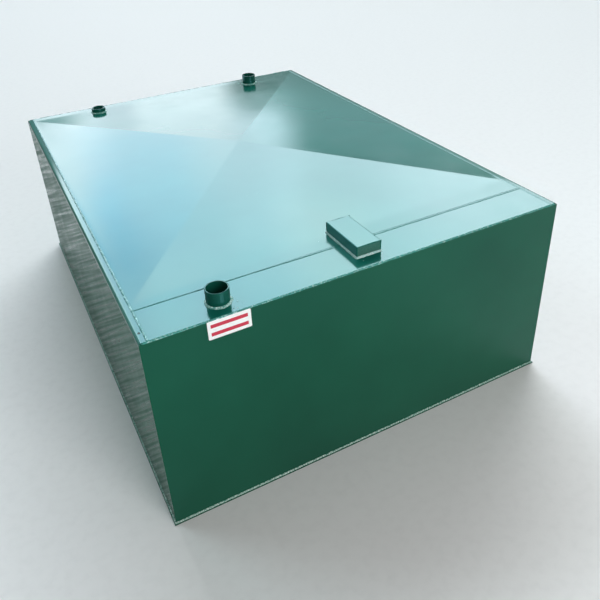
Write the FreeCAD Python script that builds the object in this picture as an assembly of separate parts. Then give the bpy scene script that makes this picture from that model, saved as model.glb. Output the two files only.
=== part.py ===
"""Bunded oil tank: a low rectangular steel oil tank inside a welded steel bund, with one flush painted top.

Millimetres. +Z is up, -Y is the front, +X is right as seen from the front.
The origin is the middle of the underside of the bund's base plate.
"""

import math
import os

import FreeCAD
import Part
from FreeCAD import Vector

# Bund, which is the outer box
BUND_WIDTH = 1250.0
BUND_LENGTH = 1700.0
BUND_HEIGHT = 606.0
BUND_SHEET = 3.0
BASE_LEDGE = 5.0  # how far the base plate stands out past the walls, to carry the fillet weld
FLANGE_WIDTH = 21.0  # top flange turned in from each side panel
FOLD_RADIUS = 7.0  # outside radius of that fold
COVER_STRIP_WIDTH = 130.0  # from the front face back to the seam across the top

# Inner tank
TANK_SHEET = 3.0
SIDE_GAP = 22.0  # clear bund space between a side panel and the tank's wall
BACK_GAP = 22.0
BEARER_HEIGHT = 50.0
BEARER_WIDTH = 50.0
BEARER_SHEET = 3.0
BEARER_FOLD_RADIUS = 5.0
BEARER_COUNT = 3
BEARER_END_INSET = 20.0  # from the tank's front and back walls to the bearers' ends
BEARER_SIDE_INSET = 125.0  # from the tank's side walls to the outer bearers' sides

# Cross-broken top: two straight creases from corner to corner raise four shallow facets to a peak.
# The rim stays flat, so that it seats on the tank's walls. Each inset is the flat left inside a wall.
PEAK_RISE = 24.0
RIM_SIDE_INSET = 2.0
RIM_BACK_INSET = 11.0
RIM_FRONT_LEFT_INSET = 30.0
RIM_FRONT_RIGHT_INSET = 78.5

# Steel pipe nipples: two inch pipe, with a two inch pipe thread at the free end
PIPE_DIAMETER = 60.3
PIPE_WALL = 3.6
THREAD_DIAMETER = 59.6
THREAD_LENGTH = 25.7
THREAD_CHAMFER = 2.2
NIPPLE_STAND = 40.0  # height of the free end above the sheet
NIPPLE_TAIL = 15.0  # length below the sheet
PIPE_HOLE_CLEARANCE = 0.5  # on the radius

# Steel socket for filling: plain outside, with an inch and a half thread inside
SOCKET_DIAMETER = 57.0
SOCKET_BORE = 44.8
SOCKET_STAND = 19.0
SOCKET_TAIL = 14.0
SOCKET_CHAMFER = 1.5
SOCKET_MOUTH_CHAMFER = 2.0

# Places of the fittings, each from the nearest edges of the bund
BUND_VENT_FROM_LEFT = 213.0
BUND_VENT_FROM_FRONT = 62.0
FILL_FROM_LEFT = 284.0
FILL_FROM_BACK = 73.0
TANK_VENT_FROM_RIGHT = 268.0
TANK_VENT_FROM_BACK = 83.5

# Overflow box: a folded channel, closed by a plate let into each end. It covers a hole into the tank
# and a hole into the bund, so that a tank filled too far spills into its bund.
OVERFLOW_WIDTH = 75.0
OVERFLOW_LENGTH = 158.0
OVERFLOW_HEIGHT = 33.0
OVERFLOW_SHEET = 3.0
OVERFLOW_FOLD_RADIUS = 4.0
OVERFLOW_FROM_FRONT = 50.0
OVERFLOW_RIGHT_OF_CENTRE = 6.0
OVERFLOW_END_GAP = 0.2  # fitting gap between the channel and each end plate
OVERFLOW_HOLE_INSET = 12.0  # from the box's inner faces to the holes' edges

# Welds
ROOT_GAP = 1.0  # gap left between two sheets that are butt welded
CAP_WIDTH = 6.0
CAP_HEIGHT = 1.2
BASE_FILLET_LEG = 4.0
BOX_FILLET_LEG = 4.5
PIPE_FILLET_LEG = 4.5
CORNER_BEAD_REACH = 0.6  # how far a corner bead stands past both faces

CUTTER_REACH = 60.0  # spare length of shapes that are only used to cut with

# Planes worked out from the values above
LEFT = -BUND_WIDTH / 2
RIGHT = BUND_WIDTH / 2
FRONT = -BUND_LENGTH / 2
BACK = BUND_LENGTH / 2
BASE_TOP = BUND_SHEET
SHEET_TOP = BUND_HEIGHT
SHEET_UNDER = BUND_HEIGHT - BUND_SHEET
SEAM_Y = FRONT + COVER_STRIP_WIDTH
TOP_EDGE_X = RIGHT - FLANGE_WIDTH - ROOT_GAP  # side edges of the top sheet and of the cover strip
TOP_FRONT_Y = SEAM_Y + ROOT_GAP / 2
TOP_BACK_Y = BACK - BUND_SHEET
TANK_X = RIGHT - BUND_SHEET - SIDE_GAP  # outer face of the tank's side wall
TANK_FRONT_Y = SEAM_Y - TANK_SHEET / 2
TANK_BACK_Y = BACK - BUND_SHEET - BACK_GAP
TANK_BASE_UNDER = BASE_TOP + BEARER_HEIGHT
TANK_FLOOR = TANK_BASE_UNDER + TANK_SHEET
FACET_X = TANK_X - TANK_SHEET - RIM_SIDE_INSET
FACET_BACK_Y = TANK_BACK_Y - TANK_SHEET - RIM_BACK_INSET
PIPE_RADIUS = PIPE_DIAMETER / 2
SOCKET_RADIUS = SOCKET_DIAMETER / 2
OVERFLOW_X = OVERFLOW_RIGHT_OF_CENTRE
OVERFLOW_FRONT_Y = FRONT + OVERFLOW_FROM_FRONT
OVERFLOW_BACK_Y = OVERFLOW_FRONT_Y + OVERFLOW_LENGTH

BUND_VENT_XY = (LEFT + BUND_VENT_FROM_LEFT, FRONT + BUND_VENT_FROM_FRONT)
FILL_XY = (LEFT + FILL_FROM_LEFT, BACK - FILL_FROM_BACK)
TANK_VENT_XY = (RIGHT - TANK_VENT_FROM_RIGHT, BACK - TANK_VENT_FROM_BACK)


def block(x0, x1, y0, y1, z0, z1):
    """A box between two values on each axis."""
    return Part.makeBox(x1 - x0, y1 - y0, z1 - z0, Vector(x0, y0, z0))


def rectangle(x0, x1, y0, y1, z):
    """A closed rectangular wire at height z."""
    corners = [Vector(x0, y0, z), Vector(x1, y0, z), Vector(x1, y1, z), Vector(x0, y1, z)]
    return Part.makePolygon(corners + corners[:1])


def outline(points, arcs=()):
    """A closed face through the points. An arc replaces the straight run that starts at its index."""
    middles = dict(arcs)
    edges = []
    for i, start in enumerate(points):
        end = points[(i + 1) % len(points)]
        if i in middles:
            edges.append(Part.Arc(start, middles[i], end).toShape())
        else:
            edges.append(Part.LineSegment(start, end).toShape())
    return Part.Face(Part.Wire(edges))


def arch(x, half, radius, foot, top, y, length):
    """A block along Y with its two upper edges rounded, centred on x."""
    lean = radius * math.sqrt(0.5)

    def at(u, z):
        return Vector(x + u, y, z)

    points = [
        at(-half, foot),
        at(-half, top - radius),
        at(-half + radius, top),
        at(half - radius, top),
        at(half, top - radius),
        at(half, foot),
    ]
    rounds = [
        (1, at(-half + radius - lean, top - radius + lean)),
        (3, at(half - radius + lean, top - radius + lean)),
    ]
    return outline(points, rounds).extrude(Vector(0, length, 0))


def turned(profile, xy):
    """A solid of revolution about the upright axis through xy, from (radius, height) points."""
    face = outline([Vector(xy[0] + r, xy[1], z) for r, z in profile])
    return face.revolve(Vector(xy[0], xy[1], 0), Vector(0, 0, 1), 360)


def crease_ends():
    """The facets' four outer corners, anticlockwise from the front left, on the top's flat rim."""
    front = TANK_FRONT_Y + TANK_SHEET
    return [
        Vector(-FACET_X, front + RIM_FRONT_LEFT_INSET, SHEET_TOP),
        Vector(FACET_X, front + RIM_FRONT_RIGHT_INSET, SHEET_TOP),
        Vector(FACET_X, FACET_BACK_Y, SHEET_TOP),
        Vector(-FACET_X, FACET_BACK_Y, SHEET_TOP),
    ]


def peak():
    """Where the two creases cross."""
    a, b, c, d = crease_ends()
    first, second = c - a, d - b
    turn = first.x * second.y - first.y * second.x
    part = ((b.x - a.x) * second.y - (b.y - a.y) * second.x) / turn
    return a + first * part + Vector(0, 0, PEAK_RISE)


def roof_block():
    """Everything under the outer surface of the top, as a solid that other shapes are cut with."""
    flat = block(LEFT, RIGHT, FRONT, BACK, SHEET_TOP - CUTTER_REACH, SHEET_TOP)
    ends, top = crease_ends(), peak()
    faces = [Part.Face(Part.makePolygon(ends + ends[:1]))]
    for i, start in enumerate(ends):
        faces.append(Part.Face(Part.makePolygon([start, ends[(i + 1) % 4], top, start])))
    return flat.fuse(Part.makeSolid(Part.makeShell(faces))).removeSplitter()


def roof_height(x, y):
    """Height of the top's outer surface at a point: the lowest of the facets' planes, or the rim."""
    ends, top = crease_ends(), peak()
    here = Vector(x, y, SHEET_TOP)
    shares = []
    for i, start in enumerate(ends):
        run = ends[(i + 1) % 4] - start
        shares.append(run.cross(here - start).z / run.cross(top - start).z)
    return SHEET_TOP + PEAK_RISE * max(0.0, min(shares))


def bund_base():
    return block(
        LEFT - BASE_LEDGE, RIGHT + BASE_LEDGE, FRONT - BASE_LEDGE, BACK + BASE_LEDGE, 0, BASE_TOP
    )


def bund_end_panel(y0):
    """The front or back panel, up to the underside of the top, its corners cut to the side folds."""
    full = arch(0, RIGHT, FOLD_RADIUS, BASE_TOP, SHEET_TOP, y0, BUND_SHEET)
    return full.common(block(LEFT, RIGHT, y0, y0 + BUND_SHEET, BASE_TOP, SHEET_UNDER))


def bund_side_panel(side):
    """A side panel with its top edge folded in as a flange. side is -1 on the left, 1 on the right."""
    inner_radius = FOLD_RADIUS - BUND_SHEET
    lean = math.sqrt(0.5)
    centre_u, centre_z = FOLD_RADIUS, SHEET_TOP - FOLD_RADIUS

    def at(u, z):
        return Vector(side * (RIGHT - u), FRONT + BUND_SHEET, z)

    def on_fold(radius):
        return at(centre_u - radius * lean, centre_z + radius * lean)

    points = [
        at(0, BASE_TOP),
        at(0, centre_z),
        at(FOLD_RADIUS, SHEET_TOP),
        at(FLANGE_WIDTH, SHEET_TOP),
        at(FLANGE_WIDTH, SHEET_UNDER),
        at(FOLD_RADIUS, SHEET_UNDER),
        at(BUND_SHEET, centre_z),
        at(BUND_SHEET, BASE_TOP),
    ]
    face = outline(points, [(1, on_fold(FOLD_RADIUS)), (5, on_fold(inner_radius))])
    return face.extrude(Vector(0, BUND_LENGTH - 2 * BUND_SHEET, 0))


def pipe_hole(xy, radius):
    """A round cutter through the top sheet or the cover strip."""
    foot = Vector(xy[0], xy[1], SHEET_TOP - CUTTER_REACH)
    return Part.makeCylinder(radius + PIPE_HOLE_CLEARANCE, 2 * CUTTER_REACH, foot)


def overflow_holes():
    """The cutter for the overflow box's two holes, one on each side of the tank's front wall."""
    half = OVERFLOW_WIDTH / 2 - OVERFLOW_SHEET - OVERFLOW_HOLE_INSET
    inset = OVERFLOW_SHEET + OVERFLOW_HOLE_INSET
    spans = (
        (OVERFLOW_FRONT_Y + inset, TANK_FRONT_Y - OVERFLOW_HOLE_INSET / 2),
        (TANK_FRONT_Y + TANK_SHEET + OVERFLOW_HOLE_INSET / 2, OVERFLOW_BACK_Y - inset),
    )
    x0, x1 = OVERFLOW_X - half, OVERFLOW_X + half
    z0, z1 = SHEET_TOP - CUTTER_REACH, SHEET_TOP + CUTTER_REACH
    return Part.makeCompound([block(x0, x1, y0, y1, z0, z1) for y0, y1 in spans])


def cover_strip():
    """The flat strip over the bund space at the front."""
    strip = block(
        -TOP_EDGE_X, TOP_EDGE_X, FRONT + BUND_SHEET, SEAM_Y - ROOT_GAP / 2, SHEET_UNDER, SHEET_TOP
    )
    return strip.cut(pipe_hole(BUND_VENT_XY, PIPE_RADIUS)).cut(overflow_holes())


def tank_top_sheet():
    """The cross-broken top: one sheet, creased from corner to corner so that it sheds water."""
    outer = roof_block()
    inner = outer.copy()
    inner.translate(Vector(0, 0, -BUND_SHEET))
    plan = block(
        -TOP_EDGE_X, TOP_EDGE_X, TOP_FRONT_Y, TOP_BACK_Y, SHEET_UNDER, SHEET_TOP + PEAK_RISE
    )
    sheet = outer.cut(inner).common(plan)
    sheet = sheet.cut(pipe_hole(FILL_XY, SOCKET_RADIUS)).cut(pipe_hole(TANK_VENT_XY, PIPE_RADIUS))
    return sheet.cut(overflow_holes())


def tank_base():
    return block(-TANK_X, TANK_X, TANK_FRONT_Y, TANK_BACK_Y, TANK_BASE_UNDER, TANK_FLOOR)


def tank_end_wall(y0):
    """The tank's front or back wall, from its base up to the top sheet."""
    return block(-TANK_X, TANK_X, y0, y0 + TANK_SHEET, TANK_FLOOR, SHEET_UNDER)


def tank_side_wall(side):
    """A side wall between the tank's end walls."""
    xs = sorted((side * TANK_X, side * (TANK_X - TANK_SHEET)))
    return block(
        xs[0], xs[1], TANK_FRONT_Y + TANK_SHEET, TANK_BACK_Y - TANK_SHEET, TANK_FLOOR, SHEET_UNDER
    )


def bearer(x):
    """A folded channel, legs down, that holds the tank off the bund's base."""
    half = BEARER_WIDTH / 2
    inner = half - BEARER_SHEET
    radius, inner_radius = BEARER_FOLD_RADIUS, BEARER_FOLD_RADIUS - BEARER_SHEET
    lean = math.sqrt(0.5)
    y0 = TANK_FRONT_Y + TANK_SHEET + BEARER_END_INSET
    y1 = TANK_BACK_Y - TANK_SHEET - BEARER_END_INSET
    top, bend = TANK_BASE_UNDER, TANK_BASE_UNDER - radius

    def at(u, z):
        return Vector(x + u, y0, z)

    def on_fold(sign, r):
        return at(sign * (half - radius + r * lean), bend + r * lean)

    points = [
        at(-half, BASE_TOP),
        at(-half, bend),
        at(-half + radius, top),
        at(half - radius, top),
        at(half, bend),
        at(half, BASE_TOP),
        at(inner, BASE_TOP),
        at(inner, bend),
        at(inner - inner_radius, top - BEARER_SHEET),
        at(-inner + inner_radius, top - BEARER_SHEET),
        at(-inner, bend),
        at(-inner, BASE_TOP),
    ]
    folds = [
        (1, on_fold(-1, radius)),
        (3, on_fold(1, radius)),
        (7, on_fold(1, inner_radius)),
        (9, on_fold(-1, inner_radius)),
    ]
    return outline(points, folds).extrude(Vector(0, y1 - y0, 0))


def bearer_places():
    """The bearers' middle lines, evenly spaced across the tank."""
    reach = TANK_X - BEARER_SIDE_INSET - BEARER_WIDTH / 2
    if BEARER_COUNT == 1:
        return [0.0]
    step = 2 * reach / (BEARER_COUNT - 1)
    return [-reach + i * step for i in range(BEARER_COUNT)]


def nipple(xy):
    """A pipe nipple: plain where it is welded in, threaded and chamfered at its free end."""
    seat = roof_height(*xy)
    bottom, top = seat - BUND_SHEET - NIPPLE_TAIL, seat + NIPPLE_STAND
    bore, thread = PIPE_RADIUS - PIPE_WALL, THREAD_DIAMETER / 2
    run_out = top - THREAD_LENGTH
    profile = [
        (bore, bottom),
        (PIPE_RADIUS, bottom),
        (PIPE_RADIUS, run_out - (PIPE_RADIUS - thread)),
        (thread, run_out),
        (thread, top - THREAD_CHAMFER),
        (thread - THREAD_CHAMFER, top),
        (bore, top),
    ]
    return turned(profile, xy)


def fill_socket():
    """A half socket: a thick plain ring with chamfered rims, threaded inside."""
    seat = roof_height(*FILL_XY)
    bottom, top = seat - BUND_SHEET - SOCKET_TAIL, seat + SOCKET_STAND
    bore = SOCKET_BORE / 2
    profile = [
        (bore, bottom),
        (SOCKET_RADIUS - SOCKET_CHAMFER, bottom),
        (SOCKET_RADIUS, bottom + SOCKET_CHAMFER),
        (SOCKET_RADIUS, top - SOCKET_CHAMFER),
        (SOCKET_RADIUS - SOCKET_CHAMFER, top),
        (bore + SOCKET_MOUTH_CHAMFER, top),
        (bore, top - SOCKET_MOUTH_CHAMFER),
    ]
    return turned(profile, FILL_XY)


def overflow_channel(roof):
    """The folded channel, scribed to the top so that its edges follow the facet."""
    half, top = OVERFLOW_WIDTH / 2, SHEET_TOP + OVERFLOW_HEIGHT
    place = (OVERFLOW_FRONT_Y, OVERFLOW_LENGTH)
    outer = arch(OVERFLOW_X, half, OVERFLOW_FOLD_RADIUS, SHEET_UNDER, top, *place)
    inner_radius = OVERFLOW_FOLD_RADIUS - OVERFLOW_SHEET
    inner = arch(
        OVERFLOW_X, half - OVERFLOW_SHEET, inner_radius, SHEET_UNDER, top - OVERFLOW_SHEET, *place
    )
    return outer.cut(inner).cut(roof)


def overflow_end(y, roof):
    """The plate let into one end of the channel, flush with it and scribed to the top."""
    inset = OVERFLOW_SHEET + OVERFLOW_END_GAP
    plate = arch(
        OVERFLOW_X,
        OVERFLOW_WIDTH / 2 - inset,
        OVERFLOW_FOLD_RADIUS - OVERFLOW_SHEET,
        SHEET_UNDER,
        SHEET_TOP + OVERFLOW_HEIGHT - inset,
        y,
        OVERFLOW_SHEET,
    )
    return plate.cut(roof)


def weld_base():
    """The fillet between the walls and the base plate's ledge, mitred round the corners."""
    leg = BASE_FILLET_LEG
    low = rectangle(LEFT - leg, RIGHT + leg, FRONT - leg, BACK + leg, BASE_TOP)
    high = rectangle(LEFT, RIGHT, FRONT, BACK, BASE_TOP + leg)
    ring = Part.makeLoft([low, high], True, True)
    return ring.cut(block(LEFT, RIGHT, FRONT, BACK, BASE_TOP, BASE_TOP + leg))


def weld_top_edge(side):
    """The corner bead along the top of the front (-1) or back (1) panel: a quarter round."""
    y, z = side * (BACK - BUND_SHEET), SHEET_UNDER
    radius = BUND_SHEET + CORNER_BEAD_REACH
    half = RIGHT - FOLD_RADIUS
    lean = radius * math.sqrt(0.5)
    points = [Vector(-half, y, z), Vector(-half, y + side * radius, z), Vector(-half, y, z + radius)]
    face = outline(points, [(1, Vector(-half, y + side * lean, z + lean))])
    return face.extrude(Vector(2 * half, 0, 0))


def cap(start, end, across):
    """The crown of a butt weld: a low arc section, swept straight from start to end."""
    side = across * (CAP_WIDTH / 2)
    crown = start + Vector(0, 0, CAP_HEIGHT)
    face = outline([start - side, start + side], [(0, crown)])
    return face.extrude(end - start)


def weld_side_seam(side):
    """The butt weld between a side panel's flange and the top: a root in the gap and a low crown."""
    y0, y1 = FRONT + BUND_SHEET, TOP_BACK_Y
    xs = sorted((side * TOP_EDGE_X, side * (TOP_EDGE_X + ROOT_GAP)))
    root = block(xs[0], xs[1], y0, y1, SHEET_UNDER, SHEET_TOP)
    middle = (xs[0] + xs[1]) / 2
    crown = cap(Vector(middle, y0, SHEET_TOP), Vector(middle, y1, SHEET_TOP), Vector(1, 0, 0))
    return root.fuse(crown)


def weld_cross_seam():
    """The butt weld across the top, whose crown stops at the overflow box's own weld."""
    y0, y1 = SEAM_Y - ROOT_GAP / 2, SEAM_Y + ROOT_GAP / 2
    root = block(-TOP_EDGE_X, TOP_EDGE_X, y0, y1, SHEET_UNDER, SHEET_TOP)
    end = TOP_EDGE_X + ROOT_GAP / 2 - CAP_WIDTH / 2
    box_half = OVERFLOW_WIDTH / 2 + BOX_FILLET_LEG
    runs = ((-end, OVERFLOW_X - box_half), (OVERFLOW_X + box_half, end))
    for x0, x1 in runs:
        crown = cap(Vector(x0, SEAM_Y, SHEET_TOP), Vector(x1, SEAM_Y, SHEET_TOP), Vector(0, 1, 0))
        root = root.fuse(crown)
    return root


def weld_round(xy, radius, roof):
    """The fillet round a pipe or socket, trimmed to the top's surface."""
    seat = roof_height(*xy)
    profile = [
        (radius, seat - BUND_SHEET),
        (radius + PIPE_FILLET_LEG + BUND_SHEET, seat - BUND_SHEET),
        (radius, seat + PIPE_FILLET_LEG),
    ]
    return turned(profile, xy).cut(roof)


def weld_overflow(roof):
    """The fillet round the foot of the overflow box, trimmed to the top's surface."""
    half = OVERFLOW_WIDTH / 2
    x0, x1, y0, y1 = OVERFLOW_X - half, OVERFLOW_X + half, OVERFLOW_FRONT_Y, OVERFLOW_BACK_Y
    grow = BOX_FILLET_LEG + BUND_SHEET
    low = rectangle(x0 - grow, x1 + grow, y0 - grow, y1 + grow, SHEET_UNDER)
    high_z = SHEET_TOP + BOX_FILLET_LEG
    ring = Part.makeLoft([low, rectangle(x0, x1, y0, y1, high_z)], True, True)
    return ring.cut(block(x0, x1, y0, y1, SHEET_UNDER, high_z)).cut(roof)


def build():
    """Every node of the tank, by name."""
    roof = roof_block()
    nodes = {
        "bund_base": bund_base(),
        "bund_front_panel": bund_end_panel(FRONT),
        "bund_back_panel": bund_end_panel(BACK - BUND_SHEET),
        "bund_left_panel": bund_side_panel(-1),
        "bund_right_panel": bund_side_panel(1),
        "bund_cover_strip": cover_strip(),
        "tank_top_sheet": tank_top_sheet(),
        "tank_base": tank_base(),
        "tank_front_wall": tank_end_wall(TANK_FRONT_Y),
        "tank_back_wall": tank_end_wall(TANK_BACK_Y - TANK_SHEET),
        "tank_left_wall": tank_side_wall(-1),
        "tank_right_wall": tank_side_wall(1),
        "bund_vent_nipple": nipple(BUND_VENT_XY),
        "tank_vent_nipple": nipple(TANK_VENT_XY),
        "fill_socket": fill_socket(),
        "overflow_channel": overflow_channel(roof),
        "overflow_front_end": overflow_end(OVERFLOW_FRONT_Y, roof),
        "overflow_back_end": overflow_end(OVERFLOW_BACK_Y - OVERFLOW_SHEET, roof),
        "weld_base": weld_base(),
        "weld_top_front": weld_top_edge(-1),
        "weld_top_back": weld_top_edge(1),
        "weld_left_seam": weld_side_seam(-1),
        "weld_right_seam": weld_side_seam(1),
        "weld_cross_seam": weld_cross_seam(),
        "weld_bund_vent": weld_round(BUND_VENT_XY, PIPE_RADIUS, roof),
        "weld_tank_vent": weld_round(TANK_VENT_XY, PIPE_RADIUS, roof),
        "weld_fill_socket": weld_round(FILL_XY, SOCKET_RADIUS, roof),
        "weld_overflow_box": weld_overflow(roof),
    }
    for i, x in enumerate(bearer_places()):
        nodes[f"bearer_{i + 1}"] = bearer(x)
    return nodes


def main():
    os.makedirs("parts", exist_ok=True)
    for name, shape in build().items():
        shape.exportStep(f"parts/{name}.step")
        print(name, len(shape.Solids), "solids", round(shape.Volume), "mm3", shape.isValid())


main()
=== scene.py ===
"""Dresses the bunded oil tank: gloss enamel on sheet steel, rippled welds, threaded fittings and a label.

Lengths in the shapes are millimetres, as in the part's source, and become metres in the mesh.
"""

import bmesh
import bpy
import numpy as np
from mathutils import Matrix, Vector


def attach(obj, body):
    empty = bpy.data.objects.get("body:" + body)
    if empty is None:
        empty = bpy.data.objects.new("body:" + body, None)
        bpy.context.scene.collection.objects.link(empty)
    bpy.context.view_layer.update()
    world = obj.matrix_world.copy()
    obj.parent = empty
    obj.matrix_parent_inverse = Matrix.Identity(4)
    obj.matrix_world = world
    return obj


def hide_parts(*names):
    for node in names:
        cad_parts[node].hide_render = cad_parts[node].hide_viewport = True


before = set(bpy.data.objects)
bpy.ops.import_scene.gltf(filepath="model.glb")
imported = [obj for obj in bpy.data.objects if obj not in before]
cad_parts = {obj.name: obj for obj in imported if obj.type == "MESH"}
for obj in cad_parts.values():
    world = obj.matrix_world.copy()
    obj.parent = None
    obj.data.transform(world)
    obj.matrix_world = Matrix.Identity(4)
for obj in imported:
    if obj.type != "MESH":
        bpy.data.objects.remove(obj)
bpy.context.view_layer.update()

MM = 0.001
TURN = 2 * np.pi
QUARTER = np.pi / 2
SHARP = np.radians(50)

# The tank's own sizes, in millimetres, from the part's source.
WALL_X = 625.0
WALL_Y = 850.0
SHEET = 3.0
TOP = 606.0
BASE_TOP = 3.0
FOLD_RADIUS = 7.0
FLANGE_INNER = 604.0
SIDE_SEAM_X = 603.5
SHEET_SIDE_X = 603.0
SHEET_FRONT_Y = -719.5
SHEET_BACK_Y = 847.0
CROSS_SEAM_Y = -720.0
CREASE_ENDS = np.array([(-595.0, -688.5), (595.0, -640.0), (595.0, 811.0), (-595.0, 811.0)])
PEAK_RISE = 24.0

BUND_VENT = (-412.0, -788.0)
TANK_VENT = (357.0, 766.5)
FILL = (-341.0, 777.0)
PIPE_RADIUS = 30.15
PIPE_BORE = 26.55
NIPPLE_STAND = 40.0
NIPPLE_TAIL = 15.0
THREAD_RADIUS = 29.8
THREAD_LENGTH = 25.7
THREAD_PITCH = 2.309
SOCKET_RADIUS = 28.5
SOCKET_BORE = 22.4
SOCKET_STAND = 19.0
SOCKET_TAIL = 14.0
BOX_X = (-31.5, 43.5)
BOX_Y = (-800.0, -642.0)
BOX_TOP = 639.0


# Shapes: surfaces on grids, and profiles carried along paths.
def smooth_step(value, low, high):
    """0 below low and 1 above high, with t * t * (3 - 2 t) between."""
    t = np.clip((value - low) / (high - low), 0, 1)
    return t * t * (3 - 2 * t)


def wander(position, length, spacing, seed):
    """A smooth random value along a line: normal random knots every spacing, blended by smooth_step. The
    last knot runs into the first, so that a closed line has no jump."""
    knots = max(4, int(round(length / spacing)))
    values = np.random.default_rng(seed).normal(size=knots)
    place = position / length * knots
    start = np.floor(place).astype(int)
    blend = smooth_step(place - start, 0, 1)
    return values[start % knots] * (1 - blend) + values[(start + 1) % knots] * blend


def waves(x, y, lengths, seed):
    """Sum of plane waves, one per wavelength, each with a random heading and phase."""
    rng = np.random.default_rng(seed)
    total = np.zeros(np.broadcast(x, y).shape)
    for length in lengths:
        heading = rng.uniform(0, TURN)
        phase = rng.uniform(0, TURN)
        total = total + np.sin(TURN * (x * np.cos(heading) + y * np.sin(heading)) / length + phase)
    return total / len(lengths)


def grid_faces(rows, columns, rows_close=False, columns_close=False):
    """Corner numbers of the quads of a grid of rows x columns points, wrapped round where it closes."""
    last_row = rows if rows_close else rows - 1
    last_column = columns if columns_close else columns - 1
    row, column = np.meshgrid(np.arange(last_row), np.arange(last_column), indexing="ij")
    next_row = (row + 1) % rows
    next_column = (column + 1) % columns
    corners = (
        row * columns + column,
        next_row * columns + column,
        next_row * columns + next_column,
        row * columns + next_column,
    )
    return np.stack(corners, axis=-1).reshape(-1, 4)


def facet_planes(x, y):
    """Heights of the four facets' planes above the rim: each is 0 along its rim, PEAK_RISE at the peak."""
    start = CREASE_ENDS
    span = np.roll(CREASE_ENDS, -1, axis=0) - start
    reach = (PEAK_X - start[:, 0]) * -span[:, 1] + (PEAK_Y - start[:, 1]) * span[:, 0]
    east = np.asarray(x)[..., None] - start[:, 0]
    north = np.asarray(y)[..., None] - start[:, 1]
    return PEAK_RISE * (east * -span[:, 1] + north * span[:, 0]) / reach


def crossing(p, q, r, s):
    """Where the line p-r crosses the line q-s."""
    ahead = r - p
    other = s - q
    gap = q - p
    part = (gap[0] * other[1] - gap[1] * other[0]) / (ahead[0] * other[1] - ahead[1] * other[0])
    return p + ahead * part


PEAK_X, PEAK_Y = crossing(*CREASE_ENDS)


def top_height(x, y, softness=0.0):
    """Height of the top at a point: the lowest of the four facet planes, or the flat rim where that is
    higher. A softness rounds each crease: the lowest becomes -s log(sum(exp(-plane / s)))."""
    planes = facet_planes(x, y)
    lowest = planes.min(axis=-1)
    if softness:
        lowest = lowest - softness * np.log(np.exp((lowest[..., None] - planes) / softness).sum(axis=-1))
        return TOP + 0.5 * (lowest + np.sqrt(lowest**2 + softness**2))
    return TOP + np.maximum(lowest, 0)


def make_piece(name, points, faces, material, node=None, smooth=True, merge=0.0):
    """A piece from points in millimetres and faces. It rides on the tank and may stand for a CAD node."""
    mesh = bpy.data.meshes.new(name)
    mesh.from_pydata((np.asarray(points).reshape(-1, 3) * MM).tolist(), [], [list(face) for face in faces])
    body = bmesh.new()
    body.from_mesh(mesh)
    if merge:
        bmesh.ops.remove_doubles(body, verts=body.verts, dist=merge * MM)
    bmesh.ops.recalc_face_normals(body, faces=body.faces)
    body.to_mesh(mesh)
    body.free()
    mesh.polygons.foreach_set("use_smooth", [smooth] * len(mesh.polygons))
    mesh.set_sharp_from_angle(angle=SHARP)
    mesh.materials.append(material)
    piece = bpy.data.objects.new(name, mesh)
    bpy.context.scene.collection.objects.link(piece)
    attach(piece, "root")
    if node:
        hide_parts(node)
    return piece


def thicken(piece, thickness):
    """Gives an open surface its sheet thickness, inwards from the outer face, with crisp cut edges."""
    wall = piece.modifiers.new("sheet", "SOLIDIFY")
    wall.thickness = thickness * MM
    wall.offset = -1
    wall.use_even_offset = True
    bpy.context.view_layer.update()
    solid = bpy.data.meshes.new_from_object(piece.evaluated_get(bpy.context.evaluated_depsgraph_get()))
    piece.modifiers.clear()
    solid.set_sharp_from_angle(angle=SHARP)
    piece.data = solid
    return piece


# Materials.
def degrees(value):
    """An angle given in degrees, in radians."""
    return float(np.radians(value))


def linear(code):
    """An sRGB hex colour as linear red, green, blue and full alpha."""
    srgb = np.array([int(code[i : i + 2], 16) for i in (1, 3, 5)]) / 255
    low = srgb / 12.92
    high = ((srgb + 0.055) / 1.055) ** 2.4
    return (*np.where(srgb <= 0.04045, low, high).tolist(), 1.0)


def add(tree, kind, inputs=None, **settings):
    """Adds a node with its settings. Each input is a socket to link from, or a value to set."""
    made = tree.nodes.new(kind)
    for key, value in settings.items():
        setattr(made, key, value)
    for key, value in (inputs or {}).items():
        if isinstance(value, bpy.types.NodeSocket):
            tree.links.new(value, made.inputs[key])
        else:
            made.inputs[key].default_value = value
    return made


def new_material(name):
    """An empty material with its output node and the object's own coordinates."""
    material = bpy.data.materials.new(name)
    material.use_nodes = True
    tree = material.node_tree
    tree.nodes.clear()
    output = add(tree, "ShaderNodeOutputMaterial")
    place = add(tree, "ShaderNodeTexCoord").outputs["Object"]
    return material, tree, output, place


# Dry spray on a side wall: the paint's colour and share, the point the passes swing from in metres, how
# fine the streaks are along and across the swing, and how high the laps stand in mm at full dryness. The
# paint's grey is partly a painted reflection, the grey ground that the gloss wall mirrors in streaks.
DRY_SPRAY_GREY_AND_PAINTED_REFLECTION = "#87938d"
DRY_TINT = 0.1
SPRAY_STAND = (0.0, -2.03, 1.52)
IN_THE_WALL = (0.0, 1.0, 1.0)
STREAKS_PER_METRE_AND_RADIAN = (0.9, 210.0, 1.0)
STREAK_RANGE = (0.34, 0.7)
WALL_TOP_RANGE = (0.6, 0.59)
LAP_HEIGHT = 0.45

# How fine the enamel's patterns are, per metre: coats some 400 mm wide, specks of dust and orange peel of
# some 5 mm, patches of sheen of 110 mm, and sags of 300 mm.
COATS = 2.6
SPECKS = 210.0
PEEL = 200.0
PATCHES = 9.0
SAGS = 3.2
NOISE_LOW = 0.3
NOISE_HIGH = 0.7

# How much the coats change the colour, and the patches the roughness.
TONE_LOW = 0.86
TONE_HIGH = 1.12
SMOOTHER = 0.8
ROUGHER = 1.25

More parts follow.
